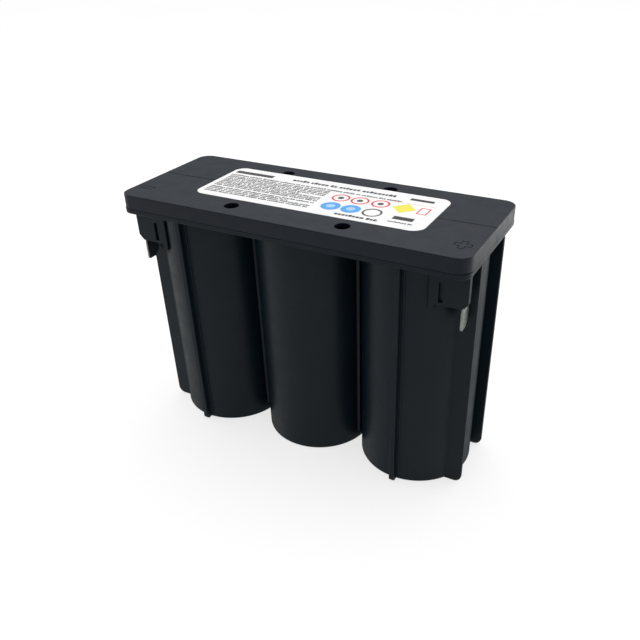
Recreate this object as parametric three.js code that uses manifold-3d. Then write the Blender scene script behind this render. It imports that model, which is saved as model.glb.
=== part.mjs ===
// Sealed 6 V lead-acid battery: three spiral-wound cells in one jar, with a push-on blade at each end.
// Millimetres. +X runs along the row of cells, the terminals are on the -Y side, +Z is up.
// The origin is the centre of the base.
import * as THREE from 'three';
import { mergeVertices } from 'three/addons/utils/BufferGeometryUtils.js';
import Module from 'manifold-3d';

const wasm = await Module();
wasm.setup();

// ---------------------------------------------------------------- driving dimensions
const LENGTH = 139.2;
const WIDTH = 54.3;
const HEIGHT = 101.6;
const CORNER_R = 5;
const GAP = 0.3;                       // clearance between neighbouring pieces

const CELL_PITCH = 45.1;
const CELL_X = [-CELL_PITCH, 0, CELL_PITCH];
const WELL_R = 22.5;
const BORE_R = 20.8;
const WELL_FLOOR = 2;
const WELL_SEGMENTS = 48;

const RIM_Z = 94.1;                    // underside of the cell cover's rim
const SPLIT_Z = 95.8;                  // where the rim and the top cover meet
const JAR_TOP_Z = RIM_Z - GAP;

const COVER_WALL = 2;
const COVER_TOP = 1.6;
const LABEL_SIZE = [93, 32];
const LABEL_CENTRE = [1.7, 2.6];
const LABEL_RECESS = 0.5;
const VENT_HOLE_R = 2.8;
const VENT_HOLE_Y = 19.6;

const RIB_THICK = 2.1;
const RIB_FRONT_Y = -25.2;
const RIB_PAD = [4.4, -23];              // width and front of the raised strip behind each rib
const FIN_THICK = 1.5;
const FIN_Y = 12.6;
const FIN_FOOT_R = 3;
const WEB_HALF_WIDTH = 0.8;
const WEB_DEPTH = 8.3;

const BLADE_WIDTH = 6.35;
const BLADE_THICK = 0.8;
const BLADE_X = 66.5;
const BLADE_FRONT_Y = -20.4;
const BLADE_TIP_Z = 72.2;
const BLADE_TIP_CHAMFER = [0.5, 2.4];   // at the front and the back corner
const BLADE_TOP_Z = 79.6;              // above this the strip is thinned to pass through the rim
const STEM_THICK = 0.6;

const HOOD_X = [54.6, 68.6];
const HOOD_Y = [-21.3, -18.8];
const HOOD_Z = 80.8;
const HOOD_LIP = [56.4, 78.6];          // outer edge and underside of the lip beside the well
const HOOD_CHAMFER = 2.1;
const HOOD_SLOT_X = [58.3, 59.9];
const HOOD_SLOT_Z = [82, 89.3];
const HOOD_SLOT_DEPTH = 1;

const CUP_R = BORE_R - 0.4;
const CUP_WALL = 1.2;
const CUP_FLOOR_Z = [90.6, 92];

const STUB_R = 3;
const STUB_BORE_R = 1.2;
const STUB_TOP_Z = 97;
const VALVE_R = 4.4;
const VALVE_SKIRT_Z = 93.6;
const VALVE_CROWN = 1.4;

const POST_R = 2.5;
const POST_OFFSET = [9.5, 9];          // post centre from the cell's axis
const POST_TOP_Z = 99;
const SEAL_R = 4.2;
const SEAL_Z = [90, 93.4];
const LINK_Z = [98, 98.9];
const EYE_R = 4.4;

const PLATE_Z = [WELL_FLOOR + 0.4, 81];
const SEPARATOR_TOP_Z = 82.5;
const STRAP_Z = [84.6, 87.2];
const STRAP_SPAN = [5.2, 18.2];
const STRAP_WIDTH = 5;
const PLATE_THICK = 0.8;
const SEPARATOR_THICK = 0.9;
const WIND_START_R = 3.2;
const WIND_PITCH = 4.4;
const WIND_TURNS = 3;
const STEPS_PER_TURN = 14;

// ---------------------------------------------------------------- solids from three.js shapes
function toSolid(geometry) {
  const bare = geometry.clone();
  bare.deleteAttribute('normal');
  bare.deleteAttribute('uv');
  const welded = mergeVertices(bare, 1e-4);
  const index = welded.index.array;
  const triangles = [];
  for (let i = 0; i < index.length; i += 3) {
    const [a, b, c] = [index[i], index[i + 1], index[i + 2]];
    if (a !== b && b !== c && c !== a) triangles.push(a, b, c);
  }
  const vertProperties = new Float32Array(welded.attributes.position.array);
  const triVerts = new Uint32Array(triangles);
  return new wasm.Manifold(new wasm.Mesh({ numProp: 3, vertProperties, triVerts }));
}

function toGeometry(solid) {
  const mesh = solid.getMesh();
  const geometry = new THREE.BufferGeometry();
  geometry.setAttribute('position', new THREE.BufferAttribute(mesh.vertProperties, 3));
  geometry.setIndex(new THREE.BufferAttribute(mesh.triVerts, 1));
  geometry.computeVertexNormals();
  return geometry;
}

function joined(solids) {
  return solids.reduce((whole, solid) => whole.add(solid));
}

function without(solid, cutters) {
  return cutters.reduce((rest, cutter) => rest.subtract(cutter), solid);
}

function box([x0, x1], [y0, y1], [z0, z1]) {
  const geometry = new THREE.BoxGeometry(x1 - x0, y1 - y0, z1 - z0);
  geometry.translate((x0 + x1) / 2, (y0 + y1) / 2, (z0 + z1) / 2);
  return toSolid(geometry);
}

function cylinder(radius, [z0, z1], [x, y], segments = 24) {
  const geometry = new THREE.CylinderGeometry(radius, radius, z1 - z0, segments);
  geometry.rotateX(Math.PI / 2);
  geometry.translate(x, y, (z0 + z1) / 2);
  return toSolid(geometry);
}

function tube(outer, inner, span, centre, segments = 24) {
  const bore = cylinder(inner, [span[0] - 1, span[1] + 1], centre, segments);
  return cylinder(outer, span, centre, segments).subtract(bore);
}

function extrusion(shape, depth, curveSegments) {
  return new THREE.ExtrudeGeometry(shape, { depth, bevelEnabled: false, curveSegments });
}

// A flat shape pushed along +Z.
function prism(shape, [z0, z1], curveSegments = 8) {
  const geometry = extrusion(shape, z1 - z0, curveSegments);
  geometry.translate(0, 0, z0);
  return toSolid(geometry);
}

const X_AXIS = new THREE.Vector3(1, 0, 0);
const Y_AXIS = new THREE.Vector3(0, 1, 0);
const Z_AXIS = new THREE.Vector3(0, 0, 1);

// A shape drawn in X and Z, as thick as its span in Y.
function plateXZ(shape, [y0, y1], curveSegments = 8) {
  const geometry = extrusion(shape, y1 - y0, curveSegments);
  geometry.applyMatrix4(new THREE.Matrix4().makeBasis(X_AXIS, Z_AXIS, Y_AXIS.clone().negate()));
  geometry.translate(0, y1, 0);
  return toSolid(geometry);
}

// A shape drawn in Y and Z, as thick as its span in X.
function plateYZ(shape, [x0, x1], curveSegments = 8) {
  const geometry = extrusion(shape, x1 - x0, curveSegments);
  geometry.applyMatrix4(new THREE.Matrix4().makeBasis(Y_AXIS, Z_AXIS, X_AXIS));
  geometry.translate(x0, 0, 0);
  return toSolid(geometry);
}

function outline(points) {
  return new THREE.Shape(points.map(([u, v]) => new THREE.Vector2(u, v)));
}

function roundedRectangle(halfX, halfY, radius, [cx, cy] = [0, 0]) {
  const shape = new THREE.Shape();
  const quarter = Math.PI / 2;
  shape.absarc(cx + halfX - radius, cy + halfY - radius, radius, 0, quarter);
  shape.absarc(cx - halfX + radius, cy + halfY - radius, radius, quarter, 2 * quarter);
  shape.absarc(cx - halfX + radius, cy - halfY + radius, radius, 2 * quarter, 3 * quarter);
  shape.absarc(cx + halfX - radius, cy - halfY + radius, radius, 3 * quarter, 4 * quarter);
  return shape;
}

function mirroredInX(solid) {
  return solid.mirror([1, 0, 0]);
}

function mirroredInY(solid) {
  return solid.mirror([0, 1, 0]);
}

// ---------------------------------------------------------------- jar
const halfLength = LENGTH / 2;
const halfWidth = WIDTH / 2;
const buried = 1;                      // how far a joined part runs into its neighbour

function frontRib(x) {
  const root = -WELL_R + buried;
  const [footZ, footR, padFootZ] = [0.3, 1.6, 3];
  const [padWidth, padFrontY] = RIB_PAD;
  const shape = new THREE.Shape();
  shape.moveTo(root, footZ);
  shape.lineTo(root, JAR_TOP_Z);
  shape.lineTo(RIB_FRONT_Y, JAR_TOP_Z);
  shape.lineTo(RIB_FRONT_Y, footZ + footR);
  shape.quadraticCurveTo(RIB_FRONT_Y, footZ, RIB_FRONT_Y + footR, footZ);
  const rib = plateYZ(shape, [x - RIB_THICK / 2, x + RIB_THICK / 2], 5);
  const pad = box([x - padWidth / 2, x + padWidth / 2], [padFrontY, root], [padFootZ, JAR_TOP_Z]);
  return joined([rib, pad]);
}

function endFin() {
  const root = CELL_PITCH + Math.sqrt(WELL_R ** 2 - FIN_Y ** 2) - buried;
  const shape = new THREE.Shape();
  shape.moveTo(root, 0);
  shape.absarc(halfLength - FIN_FOOT_R, FIN_FOOT_R, FIN_FOOT_R, -Math.PI / 2, 0);
  shape.lineTo(halfLength, JAR_TOP_Z);
  shape.lineTo(root, JAR_TOP_Z);
  return plateXZ(shape, [-FIN_Y - FIN_THICK / 2, -FIN_Y + FIN_THICK / 2], 4);
}

function cellWeb(x) {
  return box([x - WEB_HALF_WIDTH, x + WEB_HALF_WIDTH], [-WEB_DEPTH, WEB_DEPTH], [5, JAR_TOP_Z]);
}

function jar() {
  const wells = CELL_X.map((x) => cylinder(WELL_R, [0, JAR_TOP_Z], [x, 0], WELL_SEGMENTS));
  const webs = [-CELL_PITCH / 2, CELL_PITCH / 2].map(cellWeb);
  const rib = frontRib(CELL_PITCH);
  const ribs = [rib, mirroredInX(rib), mirroredInY(rib), mirroredInX(mirroredInY(rib))];
  const fin = endFin();
  const fins = [fin, mirroredInX(fin), mirroredInY(fin), mirroredInX(mirroredInY(fin))];
  const bores = CELL_X.map((x) => cylinder(BORE_R, [WELL_FLOOR, HEIGHT], [x, 0], WELL_SEGMENTS));
  return without(joined([...wells, ...webs, ...ribs, ...fins]), bores);
}

// ---------------------------------------------------------------- covers and label
// The wall that hangs from the rim in front of a blade, with a shallow moulding slot. Its inner side
// wraps round the end well and clears it.
function terminalHood() {
  const [x0, x1] = HOOD_X;
  const [lipX, lipZ] = HOOD_LIP;
  const topZ = RIM_Z + buried;
  const wall = plateXZ(outline([
    [x0, lipZ],
    [lipX, lipZ],
    [lipX + 0.6, HOOD_Z],
    [x1 - HOOD_CHAMFER, HOOD_Z],
    [x1, HOOD_Z + HOOD_CHAMFER],
    [x1, topZ],
    [x0, topZ],
  ]), HOOD_Y);
  const slot = box(HOOD_SLOT_X, [HOOD_Y[0] - 1, HOOD_Y[0] + HOOD_SLOT_DEPTH], HOOD_SLOT_Z);
  const wellClearance = cylinder(WELL_R + GAP, [lipZ - 1, RIM_Z], [CELL_PITCH, 0], WELL_SEGMENTS);
  return without(wall, [slot, wellClearance]);
}

// The way for a blade: a slot through the rim and a groove in the back of the hood.
function bladePassage() {
  const halfGap = STEM_THICK / 2 + GAP;
  return box(
    [BLADE_X - halfGap, BLADE_X + halfGap],
    [BLADE_FRONT_Y - GAP, BLADE_FRONT_Y + BLADE_WIDTH + GAP],
    [HOOD_Z - 1, SPLIT_Z + 1],
  );
}

// The inner lid: a rim as large as the battery, a cup sunk into each well, and the two terminal hoods.
function cellCover() {
  const rim = prism(roundedRectangle(halfLength, halfWidth, CORNER_R), [RIM_Z, SPLIT_Z]);
  const cups = CELL_X.map((x) => cylinder(CUP_R, [CUP_FLOOR_Z[0], SPLIT_Z], [x, 0], WELL_SEGMENTS));
  const hood = terminalHood();
  const passage = bladePassage();
  const hollows = CELL_X.map((x) => (
    cylinder(CUP_R - CUP_WALL, [CUP_FLOOR_Z[1], HEIGHT], [x, 0], WELL_SEGMENTS)
  ));
  const stubs = CELL_X.map((x) => cylinder(STUB_R, [CUP_FLOOR_Z[0], STUB_TOP_Z], [x, 0]));
  const stubBores = CELL_X.map((x) => cylinder(STUB_BORE_R, [CUP_FLOOR_Z[0] - 1, HEIGHT], [x, 0], 16));
  const postHoles = allPosts().map(({ centre }) => (
    cylinder(SEAL_R + GAP, [CUP_FLOOR_Z[0] - 1, CUP_FLOOR_Z[1] + 1], centre)
  ));
  const solid = joined([rim, ...cups, hood, mirroredInX(hood)]);
  const tray = without(solid, [...hollows, passage, mirroredInX(passage)]);
  return without(joined([tray, ...stubs]), [...stubBores, ...postHoles]);
}

function plusShape(cx, cy, arm, half) {
  return outline([
    [cx - half, cy - arm], [cx + half, cy - arm], [cx + half, cy - half],
    [cx + arm, cy - half], [cx + arm, cy + half], [cx + half, cy + half],
    [cx + half, cy + arm], [cx - half, cy + arm], [cx - half, cy + half],
    [cx - arm, cy + half], [cx - arm, cy - half], [cx - half, cy - half],
  ]);
}

function topCover() {
  const cavityZ = [SPLIT_Z, HEIGHT - COVER_TOP];
  const shell = prism(roundedRectangle(halfLength, halfWidth, CORNER_R), [SPLIT_Z + GAP, HEIGHT]);
  const cavity = prism(
    roundedRectangle(halfLength - COVER_WALL, halfWidth - COVER_WALL, CORNER_R - COVER_WALL),
    cavityZ,
    4,
  );
  const ventHoles = [-1, 1].flatMap((sx) => [-1, 1].map((sy) => (
    cylinder(VENT_HOLE_R, [cavityZ[1] - 1, HEIGHT + 1], [sx * CELL_PITCH / 2, sy * VENT_HOLE_Y], 20)
  )));
  const [labelX, labelY] = LABEL_SIZE;
  const labelBed = prism(
    roundedRectangle(labelX / 2 + GAP, labelY / 2 + GAP, CORNER_R + GAP, LABEL_CENTRE),
    [HEIGHT - LABEL_RECESS, HEIGHT + 1],
  );
  const [markX, markY, markDepth] = [63.9, -17, 0.3];
  const markZ = [HEIGHT - markDepth, HEIGHT + 1];
  const minus = box([-markX - 3.1, -markX + 3.1], [markY - 1, markY + 1], markZ);
  const plus = prism(plusShape(markX, markY, 3, 1), markZ);
  return without(shell, [cavity, ...ventHoles, labelBed, minus, plus]);
}

function label() {
  const [sizeX, sizeY] = LABEL_SIZE;
  const sheet = roundedRectangle(sizeX / 2, sizeY / 2, CORNER_R, LABEL_CENTRE);
  return prism(sheet, [HEIGHT - LABEL_RECESS + GAP / 2, HEIGHT - 0.05]);
}

function valveCap(x) {
  const skirt = tube(VALVE_R, STUB_R + GAP, [VALVE_SKIRT_Z, STUB_TOP_Z + GAP + VALVE_CROWN / 2], [x, 0]);
  const crown = cylinder(VALVE_R, [STUB_TOP_Z + GAP, STUB_TOP_Z + GAP + VALVE_CROWN], [x, 0]);
  return skirt.add(crown);
}

// ---------------------------------------------------------------- cells
// One wound strip: a spiral that starts at startR and grows by WIND_PITCH a turn.
function windingShape(startR, thickness, fromAngle, toAngle, steps) {
  const side = (offset) => Array.from({ length: steps + 1 }, (_, i) => {
    const angle = fromAngle + (toAngle - fromAngle) * i / steps;
    const radius = startR + WIND_PITCH * angle / (2 * Math.PI) + offset;
    return [radius * Math.cos(angle), radius * Math.sin(angle)];
  });
  return outline([...side(thickness / 2), ...side(-thickness / 2).reverse()]);
}

function windingStrip(startR, thickness, span) {
  const steps = WIND_TURNS * STEPS_PER_TURN;
  return prism(windingShape(startR, thickness, 0, 2 * Math.PI * WIND_TURNS, steps), span);
}

// A wound plate with a lug on each turn, all on the line that its post stands on. A lug is one step of
// the winding wide, so it keeps to the same band as the strip below it.
function woundPlate(startR, lugDirection) {
  const step = 2 * Math.PI / STEPS_PER_TURN;
  const firstStep = Math.round((lugDirection + 2 * Math.PI) % (2 * Math.PI) / step - 0.5);
  const lugs = Array.from({ length: WIND_TURNS }, (_, turn) => {
    const from = (firstStep + turn * STEPS_PER_TURN) * step;
    const shape = windingShape(startR, PLATE_THICK - 0.2, from, from + step, 1);
    return prism(shape, [PLATE_Z[1] - 0.5, STRAP_Z[0] - GAP]);
  });
  return joined([windingStrip(startR, PLATE_THICK, PLATE_Z), ...lugs]);
}

// The glass mats lie between the plates: one outside the positive plate, one outside the negative plate.
function glassMat(startR) {
  return windingStrip(startR, SEPARATOR_THICK, [PLATE_Z[0], SEPARATOR_TOP_Z]);
}

// The bar that gathers the lugs of one plate, with the post cast on top of it.
function strapWithPost(direction) {
  const [r0, r1] = STRAP_SPAN;
  const bar = box([r0, r1], [-STRAP_WIDTH / 2, STRAP_WIDTH / 2], STRAP_Z);
  const post = cylinder(POST_R, [STRAP_Z[0] + buried, POST_TOP_Z], [Math.hypot(...POST_OFFSET), 0]);
  return bar.add(post).rotate([0, 0, direction * 180 / Math.PI]);
}

// Which way each cell's posts stand from its axis: the end cells' outer posts feed the terminals.
const [offX, offY] = POST_OFFSET;
const CELLS = [
  { name: 'cell_1', x: CELL_X[0], negative: [-offX, -offY], positive: [offX, offY] },
  { name: 'cell_2', x: CELL_X[1], negative: [-offX, offY], positive: [offX, offY] },
  { name: 'cell_3', x: CELL_X[2], negative: [-offX, offY], positive: [offX, -offY] },
];

function allPosts() {
  return CELLS.flatMap(({ name, x, negative, positive }) => [
    { name: `${name}_negative`, centre: [x + negative[0], negative[1]] },
    { name: `${name}_positive`, centre: [x + positive[0], positive[1]] },
  ]);
}

function directionOf([dx, dy]) {
  return Math.atan2(dy, dx);
}

function postSeal(centre) {
  return tube(SEAL_R, POST_R + GAP, SEAL_Z, centre);
}

function eyeHole(centre) {
  return cylinder(POST_R + GAP, [LINK_Z[0] - 1, LINK_Z[1] + 1], centre);
}

function intercellLink(fromX, toX) {
  const shape = new THREE.Shape();
  shape.absarc(fromX, offY, EYE_R, Math.PI / 2, Math.PI * 3 / 2);
  shape.absarc(toX, offY, EYE_R, -Math.PI / 2, Math.PI / 2);
  return without(prism(shape, LINK_Z, 12), [eyeHole([fromX, offY]), eyeHole([toX, offY])]);
}

// The positive terminal: a blade that hangs through the rim, bent over to an eye on the end cell's post.
function terminalBlade() {
  const [eyeX, eyeY] = [CELL_PITCH + offX, -offY];
  const outerX = BLADE_X + STEM_THICK / 2;
  const backY = BLADE_FRONT_Y + BLADE_WIDTH;
  const [frontChamfer, backChamfer] = BLADE_TIP_CHAMFER;
  const blade = plateYZ(outline([
    [BLADE_FRONT_Y, BLADE_TIP_Z + frontChamfer],
    [BLADE_FRONT_Y + frontChamfer, BLADE_TIP_Z],
    [backY - backChamfer, BLADE_TIP_Z],
    [backY, BLADE_TIP_Z + backChamfer],
    [backY, BLADE_TOP_Z],
    [BLADE_FRONT_Y, BLADE_TOP_Z],
  ]), [BLADE_X - BLADE_THICK / 2, BLADE_X + BLADE_THICK / 2]);
  const stem = box(
    [BLADE_X - STEM_THICK / 2, outerX],
    [BLADE_FRONT_Y, backY],
    [BLADE_TOP_Z - buried, LINK_Z[1]],
  );
  const lean = Math.atan2(BLADE_FRONT_Y - eyeY, outerX - eyeX);
  const arm = new THREE.Shape();
  arm.moveTo(outerX, BLADE_FRONT_Y);
  arm.lineTo(outerX, backY);
  arm.absarc(eyeX, eyeY, EYE_R, lean + Math.PI * 0.6, lean + Math.PI * 1.4);
  return without(joined([blade, stem, prism(arm, LINK_Z, 12)]), [eyeHole([eyeX, eyeY])]);
}

// ---------------------------------------------------------------- finishes
const FINISH = {
  jar: { color: 0x1b1d20, roughness: 0.48, metalness: 0 },
  cover: { color: 0x26282c, roughness: 0.55, metalness: 0 },
  cellCover: { color: 0x303338, roughness: 0.6, metalness: 0 },
  label: { color: 0xf4f4f0, roughness: 0.45, metalness: 0 },
  tin: { color: 0xc4c5c2, roughness: 0.3, metalness: 1 },
  lead: { color: 0x7b7e82, roughness: 0.5, metalness: 0.9 },
  positivePlate: { color: 0x4a332a, roughness: 0.9, metalness: 0 },
  negativePlate: { color: 0x6d7176, roughness: 0.8, metalness: 0.3 },
  glassMat: { color: 0xe6e4dc, roughness: 1, metalness: 0 },
  rubber: { color: 0x161616, roughness: 0.85, metalness: 0 },
};

const group = new THREE.Group();

function place(name, solid, finish, x = 0) {
  const mesh = new THREE.Mesh(toGeometry(solid), new THREE.MeshStandardMaterial(FINISH[finish]));
  mesh.name = name;
  mesh.position.x = x;
  group.add(mesh);
}

// ---------------------------------------------------------------- assembly
place('jar', jar(), 'jar');
place('cell_cover', cellCover(), 'cellCover');
place('top_cover', topCover(), 'cover');
place('label', label(), 'label');

for (const { name, x, negative, positive } of CELLS) {
  place(`${name}_positive_plate`, woundPlate(WIND_START_R, directionOf(positive)), 'positivePlate', x);
  const negativeStart = WIND_START_R + WIND_PITCH / 2;
  place(`${name}_negative_plate`, woundPlate(negativeStart, directionOf(negative)), 'negativePlate', x);
  place(`${name}_inner_separator`, glassMat(WIND_START_R + WIND_PITCH / 4), 'glassMat', x);
  place(`${name}_outer_separator`, glassMat(WIND_START_R + WIND_PITCH * 3 / 4), 'glassMat', x);
  place(`${name}_positive_strap`, strapWithPost(directionOf(positive)), 'lead', x);
  place(`${name}_negative_strap`, strapWithPost(directionOf(negative)), 'lead', x);
  place(`${name}_relief_valve`, valveCap(0), 'rubber', x);
}

for (const { name, centre } of allPosts()) {
  place(`${name}_post_seal`, postSeal(centre), 'rubber');
}

place('link_cell_1_to_2', intercellLink(CELL_X[0] + offX, CELL_X[1] - offX), 'lead');
place('link_cell_2_to_3', intercellLink(CELL_X[1] + offX, CELL_X[2] - offX), 'lead');
place('positive_terminal', terminalBlade(), 'tin');
place('negative_terminal', mirroredInX(terminalBlade()), 'tin');

export default group;
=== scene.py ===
"""The looks of a small sealed lead-acid battery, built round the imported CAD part. Blender 4.5."""
import math
import random

import bmesh
import bpy
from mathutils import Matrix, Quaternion, Vector


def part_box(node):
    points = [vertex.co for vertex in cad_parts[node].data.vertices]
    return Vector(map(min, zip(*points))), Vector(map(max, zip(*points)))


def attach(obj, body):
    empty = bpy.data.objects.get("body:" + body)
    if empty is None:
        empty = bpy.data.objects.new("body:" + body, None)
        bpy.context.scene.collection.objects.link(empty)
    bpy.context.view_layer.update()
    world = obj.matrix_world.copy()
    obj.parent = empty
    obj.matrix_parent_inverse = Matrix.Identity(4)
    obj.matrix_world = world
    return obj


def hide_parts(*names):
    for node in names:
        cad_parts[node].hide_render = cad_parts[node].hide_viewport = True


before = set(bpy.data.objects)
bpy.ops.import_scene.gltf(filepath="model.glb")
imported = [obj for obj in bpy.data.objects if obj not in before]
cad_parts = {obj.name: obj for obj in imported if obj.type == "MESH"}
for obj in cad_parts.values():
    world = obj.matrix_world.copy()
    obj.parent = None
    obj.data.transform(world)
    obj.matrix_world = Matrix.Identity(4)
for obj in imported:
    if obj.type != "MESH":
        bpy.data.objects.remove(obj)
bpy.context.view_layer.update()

MM = 0.001                                # shapes below are written in millimetres
QUARTER = math.pi / 2


def box_mm(node):
    low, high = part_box(node)
    return low / MM, high / MM


# ---------------------------------------------------------------- places taken from the CAD
COVER_LOW, COVER_HIGH = box_mm("top_cover")
HALF_LENGTH, HALF_WIDTH, TOP_Z = COVER_HIGH
COVER_Z = COVER_LOW.z
JAR_TOP = box_mm("jar")[1].z
GAP = 0.3
RIM_Z = (JAR_TOP + GAP, COVER_Z - 0.12)
LABEL_LOW, LABEL_HIGH = box_mm("label")
CELLS = (1, 2, 3)


def centre_of(node):
    low, high = box_mm(node)
    return (low + high) / 2


CELL_X = [centre_of(f"cell_{n}_relief_valve").x for n in CELLS]
CELL_PITCH = CELL_X[2]
SEALS = [centre_of(f"cell_{n}_{pole}_post_seal") for n in CELLS for pole in ("positive", "negative")]

# ---------------------------------------------------------------- sizes that no box gives
CORNER_R = 5
WELL_R, BORE_R, WELL_FLOOR = 22.5, 20.8, 2
WELL_SEGMENTS = 160
RIB_THICK, RIB_FRONT_Y, RIB_PAD_WIDTH, RIB_PAD_Y = 2.1, -25.2, 4.4, -23
FIN_THICK, FIN_Y = 1.5, 12.6
FIN_FOOT_R = 3
WEB_THICK, WEB_DEPTH, WEB_FOOT = 1.5, 8.3, 5
HOOD_X, HOOD_Y, HOOD_Z = (54.6, 68.6), (-21.3, -18.8), 80.8
HOOD_LIP_X, HOOD_LIP_Z = 56.4, 78.6
HOOD_CHAMFER = 2.1
HOOD_SLOT_X, HOOD_SLOT_Z, HOOD_SLOT_DEPTH = (58.3, 59.9), (82, 89.3), 1.1
CUP_R, CUP_WALL, CUP_FLOOR = BORE_R - 0.4, 1.2, (90.6, 92)
COVER_WALL, COVER_SKIN = 2, 1.6
VENT_HOLE_R, VENT_HOLE_Y = 2.8, 19.6
LABEL_RECESS = 0.5
LABEL_CORNER_R = 4.2
MARK_X, MARK_Y = 63.9, -17
MARK_LINE, MARK_DEPTH = 0.35, 0.22
MARK_ARM, MINUS_HALF, PLUS_HALF = 3.1, 1.35, 1.1
SEAM_Y, SEAM_HALF, SEAM_DEPTH = 0.8, 0.3, 0.45
BLADE_THICK, STEM_THICK, BLADE_WIDTH = 0.8, 0.6, 6.35
BLADE_TOP_Z = 79.6


# ---------------------------------------------------------------- mesh building
def link_mesh(bm, name="temporary"):
    bmesh.ops.scale(bm, vec=(MM, MM, MM), verts=bm.verts)
    bmesh.ops.recalc_face_normals(bm, faces=bm.faces)
    mesh = bpy.data.meshes.new(name)
    bm.to_mesh(mesh)
    bm.free()
    piece = bpy.data.objects.new(name, mesh)
    bpy.context.scene.collection.objects.link(piece)
    return piece


def loft(rings):
    """A closed solid through rings of points, each ring a list of the same length."""
    bm = bmesh.new()
    loops = [[bm.verts.new(point) for point in ring] for ring in rings]
    for lower, upper in zip(loops, loops[1:]):
        for i, start in enumerate(lower):
            j = (i + 1) % len(lower)
            bm.faces.new((start, lower[j], upper[j], upper[i]))
    bm.faces.new(reversed(loops[0]))
    bm.faces.new(loops[-1])
    return link_mesh(bm)


def rounded_wall(z0, z1, bottom, top, steps=5):
    """(inset, z) up a wall whose lower and upper edges are rounded by the radii bottom and top."""
    wall = []
    for i in range(steps + 1 if bottom else 1):
        turn = QUARTER * i / steps
        wall.append((bottom * (1 - math.sin(turn)), z0 + bottom * (1 - math.cos(turn))))
    for i in range(steps + 1 if top else 1):
        turn = QUARTER * i / steps
        wall.append((top * (1 - math.cos(turn)), z1 - top * (1 - math.sin(turn))))
    return wall


def circle(radius, segments, centre=(0, 0)):
    step = 2 * math.pi / segments
    return [(centre[0] + radius * math.cos(step * i), centre[1] + radius * math.sin(step * i))
            for i in range(segments)]


def disc(radius, z0, z1, centre, bottom=0.0, top=0.0, segments=48):
    return loft([[(x, y, z) for x, y in circle(radius - inset, segments, centre)]
                 for inset, z in rounded_wall(z0, z1, bottom, top)])


def rounded_rectangle(half_x, half_y, radius, centre=(0, 0), steps=12):
    points = []
    for quarter, (sx, sy) in enumerate(((1, 1), (-1, 1), (-1, -1), (1, -1))):
        cx, cy = centre[0] + sx * (half_x - radius), centre[1] + sy * (half_y - radius)
        for i in range(steps + 1):
            turn = QUARTER * (quarter + i / steps)
            points.append((cx + radius * math.cos(turn), cy + radius * math.sin(turn)))
    return points


def slab(half_x, half_y, radius, z0, z1, centre=(0, 0), bottom=0.0, top=0.0):
    return loft([[(x, y, z) for x, y in
                  rounded_rectangle(half_x - inset, half_y - inset, radius - inset, centre)]
                 for inset, z in rounded_wall(z0, z1, bottom, top)])


def plate(points, axis, low, high, bevel=0.0, segments=3):
    """An outline pushed along an axis. Its points are (y, z) for axis 0, (x, z) for 1, (x, y) for 2."""
    def place(point, depth):
        coordinates = list(point)
        coordinates.insert(axis, depth)
        return coordinates
    bm = bmesh.new()
    near = [bm.verts.new(place(point, low)) for point in points]
    far = [bm.verts.new(place(point, high)) for point in points]
    bm.faces.new(near)
    bm.faces.new(reversed(far))
    for i, start in enumerate(near):
        j = (i + 1) % len(near)
        bm.faces.new((start, far[i], far[j], near[j]))
    bmesh.ops.recalc_face_normals(bm, faces=bm.faces)
    if bevel:
        sharp = [edge for edge in bm.edges if edge.calc_face_angle() > math.radians(30)]
        bmesh.ops.bevel(bm, geom=sharp, offset=bevel, offset_type="OFFSET", segments=segments,
                        profile=0.5, affect="EDGES", clamp_overlap=True)
    return link_mesh(bm)


def block(x, y, z, bevel=0.0):
    return plate([(x[0], y[0]), (x[1], y[0]), (x[1], y[1]), (x[0], y[1])], 2, z[0], z[1], bevel)


def mirrored(piece, *axes):
    """A copy of a piece mirrored across the origin on each of the axes."""
    bm = bmesh.new()
    bm.from_mesh(piece.data)
    factors = [-1 if axis in axes else 1 for axis in range(3)]
    bmesh.ops.scale(bm, vec=[f / MM for f in factors], verts=bm.verts)
    return link_mesh(bm)


def four_ways(piece):
    return [piece, mirrored(piece, 0), mirrored(piece, 1), mirrored(piece, 0, 1)]


def combine(target, others, operation):
    """Adds the others to the target, or cuts them from it, with exact booleans."""
    for other in others:
        modifier = target.modifiers.new("combine", "BOOLEAN")
        modifier.operation = operation
        modifier.solver = "EXACT"
        modifier.object = other
        bpy.context.view_layer.update()
        evaluated = target.evaluated_get(bpy.context.evaluated_depsgraph_get())
        mesh = bpy.data.meshes.new_from_object(evaluated)
        target.modifiers.clear()
        target.data = mesh
        bpy.data.objects.remove(other)
    return target


def union(pieces):
    return combine(pieces[0], pieces[1:], "UNION")


def cut(target, cutters):
    return combine(target, cutters, "DIFFERENCE")


def finish_piece(piece, name, body, materials, replaces=(), smooth_angle=32):
    """Names a piece, shades it smooth except at its sharp edges, gives it its body and finish, and hides the
    CAD parts it replaces.
    """
    piece.name = name
    piece.data.name = name
    for material in materials:
        piece.data.materials.append(material)
    piece.data.shade_smooth()
    piece.data.set_sharp_from_angle(angle=math.radians(smooth_angle))
    weighted = piece.modifiers.new("weighted_normals", "WEIGHTED_NORMAL")
    weighted.keep_sharp = True
    weighted.weight = 100
    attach(piece, body)
    if replaces:
        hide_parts(*replaces)
    return piece


# ---------------------------------------------------------------- materials
def new_material(name):
    material = bpy.data.materials.new(name)
    material.use_nodes = True
    material.node_tree.nodes.clear()
    return material, material.node_tree


def add_node(tree, kind, inputs=None, **settings):
    """A shader node. An input is a number, a colour, or another node's output to link."""
    node = tree.nodes.new("ShaderNode" + kind)
    for key, value in settings.items():
        setattr(node, key, value)
    for key, value in (inputs or {}).items():
        if isinstance(value, bpy.types.NodeSocket):
            tree.links.new(value, node.inputs[key])
        else:
            node.inputs[key].default_value = value
    return node


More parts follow.
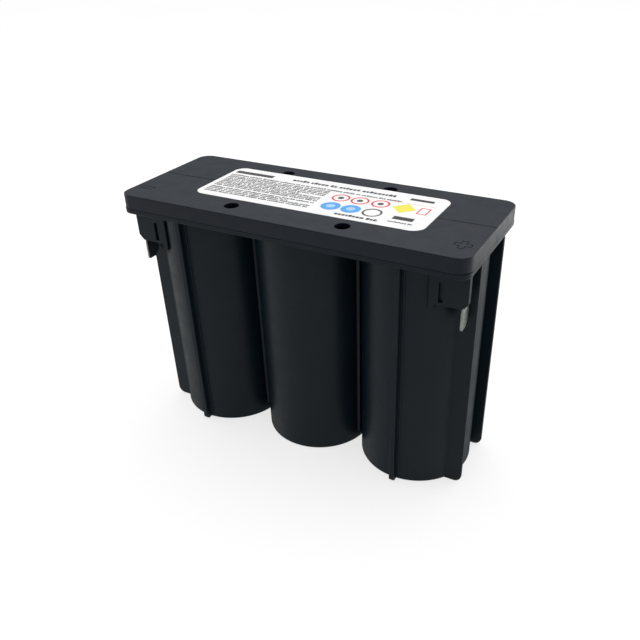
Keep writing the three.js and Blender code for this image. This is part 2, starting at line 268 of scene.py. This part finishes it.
def noise(tree, size_mm, detail=3.0, roughness=0.5, stretch=(1, 1, 1)):
    """A noise pattern whose blobs are about size_mm across, fixed to the piece."""
    coordinates = add_node(tree, "TexCoord").outputs["Object"]
    scaled = add_node(tree, "Mapping", {"Vector": coordinates, "Scale": stretch})
    pattern = add_node(tree, "TexNoise", {
        "Vector": scaled.outputs[0], "Scale": 1 / (size_mm * MM), "Detail": detail, "Roughness": roughness,
    })
    return pattern.outputs[0]


def remap(tree, value, low, high, start=0.3, end=0.7):
    return add_node(tree, "MapRange", {
        "Value": value, "From Min": start, "From Max": end, "To Min": low, "To Max": high,
    }).outputs[0]


def blend_colours(tree, factor, first, second):
    mixed = add_node(tree, "Mix", data_type="RGBA")
    for key, value in ((0, factor), (6, first), (7, second)):
        if isinstance(value, bpy.types.NodeSocket):
            tree.links.new(value, mixed.inputs[key])
        else:
            mixed.inputs[key].default_value = value
    return mixed.outputs[2]


def maths(tree, operation, first, second):
    return add_node(tree, "Math", {0: first, 1: second}, operation=operation).outputs[0]


def colour(red, green, blue):
    return (red, green, blue, 1.0)


def edge_mask(tree, radius_mm):
    """A rounded normal, and a mask that is 1 on worn edges."""
    rounded = add_node(tree, "Bevel", {"Radius": radius_mm * MM}, samples=4).outputs[0]
    flat = add_node(tree, "NewGeometry").outputs["Normal"]
    turned = add_node(tree, "VectorMath", {0: rounded, 1: flat}, operation="DOT_PRODUCT")
    return rounded, remap(tree, turned.outputs["Value"], 1.0, 0.0, 0.82, 0.99)


def close_material(tree, shader):
    output = add_node(tree, "OutputMaterial")
    tree.links.new(shader.outputs[0], output.inputs["Surface"])


def moulded_plastic(name, dark, light, rough, grain_mm, grain, specular, wear=0.35):
    """Black moulded plastic: faint cloudiness, spark-eroded grain, soft ripple, and paler worn edges."""
    material, tree = new_material(name)
    clouds = noise(tree, 22, 4, 0.55)
    specks = noise(tree, 0.9, 5, 0.7)
    body = blend_colours(tree, remap(tree, clouds, 0, 1), dark, light)
    rounded, edges = edge_mask(tree, 0.3)
    worn = maths(tree, "MULTIPLY", edges, remap(tree, specks, 0.1, wear, 0.35, 0.65))
    tint = blend_colours(tree, worn, body, colour(*[min(1, 5 * c) for c in light[:3]]))
    ripple = add_node(tree, "Bump", {
        "Strength": 0.25, "Distance": 0.25 * MM, "Height": noise(tree, 11, 2), "Normal": rounded,
    })
    fine = add_node(tree, "Bump", {
        "Strength": grain, "Distance": 0.03 * MM, "Height": noise(tree, grain_mm, 3, 0.6),
        "Normal": ripple.outputs[0],
    })
    shader = add_node(tree, "BsdfPrincipled", {
        "Base Color": tint,
        "Roughness": remap(tree, noise(tree, 6, 5, 0.6), rough - 0.05, rough + 0.06),
        "Specular IOR Level": specular,
        "Normal": fine.outputs[0],
    })
    grazing = add_node(tree, "LayerWeight", {"Blend": 0.5}).outputs["Facing"]
    matte = add_node(tree, "BsdfDiffuse", {"Color": body})
    skin = add_node(tree, "MixShader", {
        0: remap(tree, grazing, 0, 0.62, 0.55, 0.92), 1: shader.outputs[0], 2: matte.outputs[0],
    })
    close_material(tree, skin)
    return material


def printed_film(name, base, rough=0.38):
    """White or coloured label film: barely uneven, with a soft sheen."""
    material, tree = new_material(name)
    shade = colour(*[0.9 * c for c in base[:3]])
    bump = add_node(tree, "Bump", {"Strength": 0.15, "Distance": 0.05 * MM, "Height": noise(tree, 5, 3)})
    shader = add_node(tree, "BsdfPrincipled", {
        "Base Color": blend_colours(tree, remap(tree, noise(tree, 9, 5), 0, 1), base, shade),
        "Roughness": remap(tree, noise(tree, 3, 4), rough - 0.05, rough + 0.08),
        "Specular IOR Level": 0.45,
        "Normal": bump.outputs[0],
    })
    close_material(tree, shader)
    return material


def metal(name, clean, dull, rough, scratch=0.3, stretch=(1, 1, 1), grain_mm=0.6):
    """Bare metal with drawn or cast grain and dull patches."""
    material, tree = new_material(name)
    rounded, edges = edge_mask(tree, 0.15)
    patches = remap(tree, noise(tree, 4, 5, 0.6), 0, 1, 0.4, 0.7)
    tint = blend_colours(tree, patches, clean, dull)
    bump = add_node(tree, "Bump", {
        "Strength": scratch, "Distance": 0.04 * MM, "Height": noise(tree, grain_mm, 4, 0.6, stretch),
        "Normal": rounded,
    })
    shader = add_node(tree, "BsdfPrincipled", {
        "Base Color": blend_colours(tree, maths(tree, "MULTIPLY", edges, 0.4), tint, clean),
        "Metallic": 1.0,
        "Roughness": maths(tree, "ADD", maths(tree, "MULTIPLY", patches, 0.15), rough),
        "Normal": bump.outputs[0],
    })
    close_material(tree, shader)
    return material


def rough_solid(name, base, other, rough, grain_mm, strength):
    """Paste, glass mat and rubber: two tones and a coarse grain."""
    material, tree = new_material(name)
    bump = add_node(tree, "Bump", {
        "Strength": strength, "Distance": 0.1 * MM, "Height": noise(tree, grain_mm, 5, 0.65),
    })
    shader = add_node(tree, "BsdfPrincipled", {
        "Base Color": blend_colours(tree, remap(tree, noise(tree, 3 * grain_mm, 5, 0.6), 0, 1), base, other),
        "Roughness": remap(tree, noise(tree, 2 * grain_mm, 4), rough - 0.06, rough + 0.06),
        "Normal": bump.outputs[0],
    })
    close_material(tree, shader)
    return material


jar_plastic = moulded_plastic("jar_plastic",
                              colour(0.0030, 0.0088, 0.0135), colour(0.0042, 0.0110, 0.0165),
                              0.37, 0.45, 0.12, 0.19)
cover_plastic = moulded_plastic("cover_plastic",
                                colour(0.0022, 0.0060, 0.0125), colour(0.0045, 0.0092, 0.0175),
                                0.44, 0.5, 0.4, 0.26)
label_white = printed_film("label_white", colour(0.86, 0.86, 0.86))
ink_black = printed_film("ink_black", colour(0.012, 0.012, 0.015))
ink_grey = printed_film("ink_grey", colour(0.05, 0.05, 0.055))
ink_red = printed_film("ink_red", colour(0.70, 0.03, 0.04))
ink_pale_red = printed_film("ink_pale_red", colour(0.80, 0.28, 0.24))
ink_yellow = printed_film("ink_yellow", colour(0.82, 0.74, 0.06))
ink_blue = printed_film("ink_blue", colour(0.06, 0.34, 0.78))
ink_pale_blue = printed_film("ink_pale_blue", colour(0.35, 0.60, 0.85))
tin_plate = metal("tin_plate", colour(0.30, 0.31, 0.30), colour(0.15, 0.155, 0.15),
                  0.40, 0.3, (1, 1, 0.15), 0.4)
lead = metal("lead", colour(0.42, 0.43, 0.45), colour(0.20, 0.21, 0.23), 0.42, 0.5, (1, 1, 1), 0.8)
positive_paste = rough_solid("positive_paste", colour(0.10, 0.05, 0.03), colour(0.17, 0.09, 0.06),
                             0.85, 0.5, 0.6)
negative_paste = rough_solid("negative_paste", colour(0.17, 0.18, 0.19), colour(0.27, 0.28, 0.30),
                             0.7, 0.5, 0.6)
glass_mat = rough_solid("glass_mat", colour(0.78, 0.77, 0.72), colour(0.88, 0.87, 0.84), 0.95, 0.7, 0.8)
rubber = rough_solid("rubber", colour(0.010, 0.010, 0.011), colour(0.020, 0.020, 0.021), 0.72, 0.4, 0.35)


# ---------------------------------------------------------------- jar
def well(x):
    return disc(WELL_R, 0, JAR_TOP, (x, 0), bottom=0.9, top=0.2, segments=WELL_SEGMENTS)


def front_rib(x):
    """The keel down the front of an end well, rounded at its foot, on a low pad."""
    root, foot_z, foot_r = -WELL_R + 1, 0.3, 1.6
    outline = [(root, foot_z), (root, JAR_TOP), (RIB_FRONT_Y, JAR_TOP)]
    for i in range(9):
        turn = math.pi + QUARTER * i / 8
        outline.append((RIB_FRONT_Y + foot_r + foot_r * math.cos(turn),
                        foot_z + foot_r + foot_r * math.sin(turn)))
    half, pad_half = RIB_THICK / 2, RIB_PAD_WIDTH / 2
    rib = plate(outline, 0, x - half, x + half, bevel=0.25)
    pad = block((x - pad_half, x + pad_half), (RIB_PAD_Y, root), (3, JAR_TOP), 0.3)
    return union([rib, pad])


def end_fin():
    root = CELL_PITCH + math.sqrt(WELL_R ** 2 - FIN_Y ** 2) - 1
    centre_x = HALF_LENGTH - FIN_FOOT_R
    outline = [(root, 0)]
    for i in range(11):
        turn = -QUARTER + QUARTER * i / 10
        outline.append((centre_x + FIN_FOOT_R * math.cos(turn), FIN_FOOT_R + FIN_FOOT_R * math.sin(turn)))
    outline += [(HALF_LENGTH, JAR_TOP), (root, JAR_TOP)]
    return plate(outline, 1, -FIN_Y - FIN_THICK / 2, -FIN_Y + FIN_THICK / 2, bevel=0.3)


def web(x):
    return block((x - WEB_THICK / 2, x + WEB_THICK / 2), (-WEB_DEPTH, WEB_DEPTH), (WEB_FOOT, JAR_TOP), 0.3)


def build_jar():
    webs = [web(-CELL_PITCH / 2), web(CELL_PITCH / 2)]
    solid = union([well(x) for x in CELL_X] + webs + four_ways(front_rib(CELL_PITCH)) + four_ways(end_fin()))
    bores = [disc(BORE_R, WELL_FLOOR, TOP_Z, (x, 0), bottom=1.0, segments=WELL_SEGMENTS) for x in CELL_X]
    finish_piece(cut(solid, bores), "jar_shell", "root", [jar_plastic], ["jar"])


# ---------------------------------------------------------------- cell cover with its rim and hoods
def hood():
    """The wall in front of a blade. Its inner side wraps round the well and ends in a lower lip."""
    x0, x1 = HOOD_X
    top = RIM_Z[0] + 0.7
    wall = plate([(x0, HOOD_LIP_Z), (HOOD_LIP_X, HOOD_LIP_Z), (HOOD_LIP_X + 0.6, HOOD_Z),
                  (x1 - HOOD_CHAMFER, HOOD_Z), (x1, HOOD_Z + HOOD_CHAMFER), (x1, top), (x0, top)],
                 1, HOOD_Y[0], HOOD_Y[1], bevel=0.35)
    slot = block(HOOD_SLOT_X, (HOOD_Y[0] - 1, HOOD_Y[0] + HOOD_SLOT_DEPTH), HOOD_SLOT_Z, 0.1)
    clearance = disc(WELL_R + 0.04, HOOD_LIP_Z - 1, RIM_Z[0], (CELL_PITCH, 0), segments=WELL_SEGMENTS)
    return cut(wall, [slot, clearance])


def blade_passage():
    low, high = box_mm("positive_terminal")
    stem_x = high.x - (BLADE_THICK - STEM_THICK) / 2
    return block((stem_x - STEM_THICK - GAP, stem_x + GAP), (low.y - GAP, low.y + BLADE_WIDTH + GAP),
                 (HOOD_Z - 1, RIM_Z[1] + 1))


def build_cell_cover():
    rim = slab(HALF_LENGTH, HALF_WIDTH, CORNER_R - 0.6, *RIM_Z, bottom=0.3, top=0.05)
    cups = [disc(CUP_R, CUP_FLOOR[0], RIM_Z[1] - 0.2, (x, 0), bottom=0.4, segments=WELL_SEGMENTS)
            for x in CELL_X]
    right_hood = hood()
    solid = union([rim, *cups, right_hood, mirrored(right_hood, 0)])
    hollows = [disc(CUP_R - CUP_WALL, CUP_FLOOR[1], TOP_Z, (x, 0), bottom=0.6, segments=WELL_SEGMENTS)
               for x in CELL_X]
    passage = blade_passage()
    tray = cut(solid, hollows + [mirrored(passage, 0), passage])
    stub_top = box_mm("cell_cover")[1].z
    stubs = [disc(3, CUP_FLOOR[0] + 0.1, stub_top, (x, 0), top=0.3) for x in CELL_X]
    seal_r = (box_mm("cell_1_positive_post_seal")[1].x - SEALS[0].x)
    openings = [disc(1.2, CUP_FLOOR[0] - 1, TOP_Z, (x, 0), segments=32) for x in CELL_X]
    openings += [disc(seal_r + GAP, CUP_FLOOR[0] - 1, CUP_FLOOR[1] + 1, (seal.x, seal.y)) for seal in SEALS]
    shell = cut(union([tray] + stubs), openings)
    finish_piece(shell, "cell_cover_shell", "root", [jar_plastic], ["cell_cover"])


# ---------------------------------------------------------------- top cover
def bar_outline(cx, cy, half_x, half_y):
    return [(cx - half_x, cy - half_y), (cx + half_x, cy - half_y),
            (cx + half_x, cy + half_y), (cx - half_x, cy + half_y)]


def plus_outline(cx, cy, arm, half):
    corners = ((-half, -arm), (half, -arm), (half, -half), (arm, -half), (arm, half), (half, half),
               (half, arm), (-half, arm), (-half, half), (-arm, half), (-arm, -half), (-half, -half))
    return [(cx + dx, cy + dy) for dx, dy in corners]


def mark_cutters():
    """Outlined minus and plus signs, each an engraved line round a raised middle."""
    span = (TOP_Z - MARK_DEPTH, TOP_Z + 1)
    inner = (TOP_Z - 2 * MARK_DEPTH, TOP_Z + 2)
    arm = MARK_ARM - MARK_LINE
    minus = cut(plate(bar_outline(-MARK_X, MARK_Y, MARK_ARM, MINUS_HALF), 2, *span),
                [plate(bar_outline(-MARK_X, MARK_Y, arm, MINUS_HALF - MARK_LINE), 2, *inner)])
    plus = cut(plate(plus_outline(MARK_X, MARK_Y, MARK_ARM, PLUS_HALF), 2, *span),
               [plate(plus_outline(MARK_X, MARK_Y, arm, PLUS_HALF - MARK_LINE), 2, *inner)])
    return [minus, plus]


def seam_cutters():
    """The fine parting groove along the cover, from each end to the label."""
    outline = [(SEAM_Y - SEAM_HALF, TOP_Z + 0.01), (SEAM_Y, TOP_Z - SEAM_DEPTH),
               (SEAM_Y + SEAM_HALF, TOP_Z + 0.01), (SEAM_Y, TOP_Z + 1)]
    spans = ((-HALF_LENGTH - 1, LABEL_LOW.x), (LABEL_HIGH.x, HALF_LENGTH + 1))
    return [plate(outline, 0, *span) for span in spans]


def build_top_cover():
    shell = slab(HALF_LENGTH, HALF_WIDTH, CORNER_R, COVER_Z, TOP_Z, bottom=0.05, top=0.45)
    cavity = slab(HALF_LENGTH - COVER_WALL, HALF_WIDTH - COVER_WALL, CORNER_R - COVER_WALL,
                  COVER_Z - 1, TOP_Z - COVER_SKIN, top=0.5)
    holes = [disc(VENT_HOLE_R, TOP_Z - COVER_SKIN - 1, TOP_Z + 1, (sx * CELL_PITCH / 2, sy * VENT_HOLE_Y))
             for sx in (-1, 1) for sy in (-1, 1)]
    size, centre = (LABEL_HIGH - LABEL_LOW) / 2, (LABEL_HIGH + LABEL_LOW) / 2
    bed = slab(size.x + GAP, size.y + GAP, CORNER_R + GAP, TOP_Z - LABEL_RECESS, TOP_Z + 1, centre)
    solid = cut(shell, [cavity, *holes, bed, *mark_cutters(), *seam_cutters()])
    finish_piece(solid, "top_cover_shell", "cover", [cover_plastic], ["top_cover"])


# ---------------------------------------------------------------- label and its print
INKS = [ink_black, ink_grey, ink_red, ink_pale_red, ink_yellow, ink_blue, ink_pale_blue]
BLACK, GREY, RED, PALE_RED, YELLOW, BLUE, PALE_BLUE = range(7)
INK_THICK = 0.02
RING_CENTRES = ((9.7, 4.1), (17.4, 4.3), (25.5, 4.6))
DISC_CENTRES = ((10, -4.6), (17.9, -4.3))
OPEN_RING_CENTRE = (26.3, -4.3)
DIAMOND_CENTRE, DIAMOND_HALF = (34.9, 4.1), 4.6
SMALL_ROWS, SMALL_ROW_TOP, SMALL_ROW_STEP = 12, 8.1, 1.5


class Print:
    """Flat shapes of ink lying on the label, gathered into one mesh."""

    def __init__(self):
        self.bm = bmesh.new()

    def area(self, points, ink, layer=0):
        bottom = LABEL_HIGH.z + layer * INK_THICK
        low = [self.bm.verts.new((x, y, bottom)) for x, y in points]
        high = [self.bm.verts.new((x, y, bottom + INK_THICK)) for x, y in points]
        faces = [self.bm.faces.new(high), self.bm.faces.new(reversed(low))]
        for i, start in enumerate(low):
            j = (i + 1) % len(low)
            faces.append(self.bm.faces.new((start, low[j], high[j], high[i])))
        for face in faces:
            face.material_index = ink

    def band(self, outer, inner, ink):
        """The strip between an outer and an inner outline that have the same number of points."""
        for i, start in enumerate(outer):
            j = (i + 1) % len(outer)
            self.area([start, outer[j], inner[j], inner[i]], ink)

    def bar(self, x0, y0, x1, y1, ink, layer=0):
        self.area([(x0, y0), (x1, y0), (x1, y1), (x0, y1)], ink, layer)

    def row(self, x0, x1, y, height, ink, draw, layer=0):
        """A row of word-like blocks. They follow the rhythm of text but hold no letters."""
        x = x0
        left_in_word = draw.randint(3, 9)
        while x < x1:
            width = height * draw.uniform(0.5, 0.8)
            tall = height * (1.0 if draw.random() < 0.3 else 0.78)
            self.bar(x, y - height / 2, min(x + width, x1), y - height / 2 + tall, ink, layer)
            x += width + height * 0.16
            left_in_word -= 1
            if left_in_word == 0:
                x += height * 0.4
                left_in_word = draw.randint(2, 9)

    def open_bar(self, x0, y0, x1, y1, line, ink):
        cx, cy, half_x, half_y = (x0 + x1) / 2, (y0 + y1) / 2, (x1 - x0) / 2, (y1 - y0) / 2
        self.band(bar_outline(cx, cy, half_x, half_y), bar_outline(cx, cy, half_x - line, half_y - line), ink)


def build_label():
    size, centre = (LABEL_HIGH - LABEL_LOW) / 2, (LABEL_HIGH + LABEL_LOW) / 2
    film = slab(size.x, size.y, LABEL_CORNER_R, LABEL_LOW.z, LABEL_HIGH.z, centre, bottom=0.05, top=0.08)
    finish_piece(film, "label_film", "cover", [label_white], ["label"])

    draw = random.Random(7)
    ink = Print()
    # plain bars where the photo has its large print
    ink.bar(-43.0, 12.2, -25.5, 14.8, BLACK)
    ink.row(-16.5, 27.5, 14.0, 1.9, BLACK, draw)
    ink.bar(33.4, 12.6, 42.6, 14.6, BLACK)
    # small print
    ink.row(-43.2, 31.5, 9.9, 1.15, BLACK, draw)
    ink.bar(25.0, 9.0, 45, 9.2, PALE_RED)
    for i in range(SMALL_ROWS):
        y = SMALL_ROW_TOP - SMALL_ROW_STEP * i - (0.7 if i > 7 else 0)
        end = 3 if (i + 1) % 5 else -7
        ink.row(-42.6, end, y, 1.08, GREY, draw)
    # plain dotted rings, discs, an open ring, a box and a diamond in the colours of the print
    for ring_centre in RING_CENTRES:
        ink.band(circle(3.5, 48, ring_centre), circle(2.75, 48, ring_centre), RED)
        ink.area(circle(1.2, 24, ring_centre), GREY)
    for disc_centre in DISC_CENTRES:
        ink.area(circle(3.7, 48, disc_centre), BLUE)
        ink.area(circle(1.7, 32, disc_centre), PALE_BLUE, layer=1)
    ink.area(circle(DIAMOND_HALF, 4, DIAMOND_CENTRE), YELLOW)
    ink.open_bar(40.4, 1.1, 44.2, 7.1, 0.5, RED)
    ink.band(circle(3.7, 48, OPEN_RING_CENTRE), circle(2.9, 48, OPEN_RING_CENTRE), GREY)
    ink.bar(34.6, -6.4, 42.2, -3.6, BLACK)
    ink.row(34.2, 43.2, -8.7, 1.0, BLACK, draw)
    ink.row(14.6, 31.0, -10.2, 1.7, BLACK, draw)
    piece = link_mesh(ink.bm)
    finish_piece(piece, "label_print", "cover", INKS)


# ---------------------------------------------------------------- terminals, valves, posts
def build_terminal(node, side):
    low, high = box_mm("positive_terminal")
    post = centre_of("cell_3_positive_post_seal")
    front, back, tip, arm_top = low.y, low.y + BLADE_WIDTH, low.z, high.z
    front_chamfer, back_chamfer, arm_thick, eye_r = 0.5, 2.4, 0.9, 4.4
    stem_x = high.x - (BLADE_THICK - STEM_THICK) / 2
    blade = plate([(front, tip + front_chamfer), (front + front_chamfer, tip), (back - back_chamfer, tip),
                   (back, tip + back_chamfer), (back, BLADE_TOP_Z), (front, BLADE_TOP_Z)],
                  0, high.x - BLADE_THICK, high.x, bevel=0.15)
    stem = block((stem_x - STEM_THICK, stem_x), (front + 0.02, back - 0.02), (BLADE_TOP_Z - 1, arm_top), 0.1)
    lean = math.atan2(front - post.y, stem_x - post.x)
    eye = [(post.x + eye_r * math.cos(lean + math.pi * (0.6 + 0.8 * i / 24)),
            post.y + eye_r * math.sin(lean + math.pi * (0.6 + 0.8 * i / 24))) for i in range(25)]
    arm = plate([(stem_x, front), (stem_x, back)] + eye, 2, arm_top - arm_thick, arm_top, bevel=0.15)
    solid = cut(union([blade, stem, arm]), [disc(2.8, arm_top - 3, arm_top + 2, (post.x, post.y))])
    if side < 0:
        flipped = mirrored(solid, 0)
        bpy.data.objects.remove(solid)
        solid = flipped
    finish_piece(solid, node + "_blade", "root", [tin_plate], [node])


def build_valve(n):
    node = f"cell_{n}_relief_valve"
    low, high = box_mm(node)
    x, radius = CELL_X[n - 1], high.x - CELL_X[n - 1]
    cap = disc(radius, low.z, high.z, (x, 0), bottom=0.25, top=0.7, segments=64)
    cap = cut(cap, [disc(3.3, low.z - 1, high.z - 1.4, (x, 0), top=0.3)])
    finish_piece(cap, node + "_cap", f"valve_{n}", [rubber], [node])


CARRIED_OVER = {
    "positive_plate": positive_paste, "negative_plate": negative_paste,
    "inner_separator": glass_mat, "outer_separator": glass_mat,
    "positive_strap": lead, "negative_strap": lead,
    "positive_post_seal": rubber, "negative_post_seal": rubber,
}


def dress_cad_nodes():
    """The nodes that keep their CAD shape get a finish with grain and variation."""
    finishes = {f"cell_{n}_{part}": material for n in CELLS for part, material in CARRIED_OVER.items()}
    finishes["link_cell_1_to_2"] = finishes["link_cell_2_to_3"] = lead
    for name, material in finishes.items():
        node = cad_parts[name]
        node.data.materials.clear()
        node.data.materials.append(material)


# ---------------------------------------------------------------- studio
def area_light(name, place, target, size, power, tint=(1, 1, 1)):
    data = bpy.data.lights.new(name, "AREA")
    data.shape = "RECTANGLE"
    data.size, data.size_y = size
    data.energy = power
    data.color = tint
    lamp = bpy.data.objects.new(name, data)
    lamp.location = place
    lamp.rotation_euler = (Vector(target) - Vector(place)).to_track_quat("-Z", "Y").to_euler()
    lamp.visible_camera = False
    bpy.context.scene.collection.objects.link(lamp)


def build_studio():
    reach = 4.0
    bm = bmesh.new()
    bmesh.ops.create_grid(bm, x_segments=8, y_segments=8, size=reach / MM)
    floor = link_mesh(bm)
    floor.name = "floor"
    material, tree = new_material("floor")
    paper = blend_colours(tree, noise(tree, 300, 2), colour(0.96, 0.96, 0.96), colour(1, 1, 1))
    seen = add_node(tree, "BsdfPrincipled", {
        "Base Color": blend_colours(tree, 0.7, paper, colour(0, 0, 0)), "Roughness": 0.9,
        "Specular IOR Level": 0.0, "Emission Color": paper, "Emission Strength": 0.72,
    })
    unseen = add_node(tree, "BsdfPrincipled", {
        "Base Color": blend_colours(tree, 0.65, paper, colour(0, 0, 0)), "Roughness": 0.9,
        "Specular IOR Level": 0.0, "Emission Color": paper, "Emission Strength": 0.38,
    })
    is_seen = add_node(tree, "LightPath").outputs["Is Camera Ray"]
    shader = add_node(tree, "MixShader", {0: is_seen, 1: unseen.outputs[0], 2: seen.outputs[0]})
    close_material(tree, shader)
    floor.data.materials.append(material)

    world = bpy.data.worlds.new("studio")
    world.use_nodes = True
    tree = world.node_tree
    tree.nodes.clear()
    direction = add_node(tree, "SeparateXYZ", {0: add_node(tree, "TexCoord").outputs["Generated"]})
    from_behind = remap(tree, direction.outputs["Y"], 0.2, 0.72, -0.3, 0.6)
    from_above = remap(tree, direction.outputs["Z"], 0.0, 1.9, 0.5, 1.0)
    sky = add_node(tree, "Background", {"Strength": maths(tree, "ADD", from_behind, from_above)})
    backdrop = add_node(tree, "Background", {"Color": colour(1, 1, 1), "Strength": 1.0})
    seen = add_node(tree, "LightPath").outputs["Is Camera Ray"]
    both = add_node(tree, "MixShader", {0: seen, 1: sky.outputs[0], 2: backdrop.outputs[0]})
    tree.links.new(both.outputs[0], add_node(tree, "OutputWorld").inputs["Surface"])
    bpy.context.scene.world = world
    middle = (0, 0, 0.05)
    area_light("overhead", (-0.25, 0.35, 0.9), middle, (0.9, 0.9), 2.5)
    area_light("left_side", (-0.7, -0.05, 0.25), middle, (0.5, 0.4), 1.0)
    area_light("low_right", (0.2, 0.2, 0.012), (0.12, 0.06, 0.1), (0.26, 0.26), 0.5)
    area_light("right_side", (0.6, 0.45, 0.3), middle, (0.5, 0.4), 1.0)
    bpy.context.scene.view_settings.view_transform = "Standard"


CAMERA_PLACE, CAMERA_TARGET = Vector((0.12346, -0.20997, 0.19048)), Vector((0.02689, -0.03014, 0.060))
CAMERA_ROLL_DEGREES = -1.234
CAMERA_LENS_MM, CAMERA_SHIFT = 38.57, (-0.0335, 0.0457)


def build_camera():
    data = bpy.data.cameras.new("camera")
    camera = bpy.data.objects.new("camera", data)
    bpy.context.scene.collection.objects.link(camera)
    roll = Quaternion((0, 0, 1), math.radians(CAMERA_ROLL_DEGREES))
    camera.location = CAMERA_PLACE
    camera.rotation_mode = "QUATERNION"
    camera.rotation_quaternion = (CAMERA_TARGET - CAMERA_PLACE).to_track_quat("-Z", "Y") @ roll
    data.sensor_width = 36
    data.lens = CAMERA_LENS_MM
    data.shift_x, data.shift_y = CAMERA_SHIFT
    data.clip_start, data.clip_end = 0.01, 20
    bpy.context.scene.camera = camera


build_jar()
build_cell_cover()
build_top_cover()
build_label()
build_terminal("positive_terminal", 1)
build_terminal("negative_terminal", -1)
for number in CELLS:
    build_valve(number)
dress_cad_nodes()
build_studio()
build_camera()
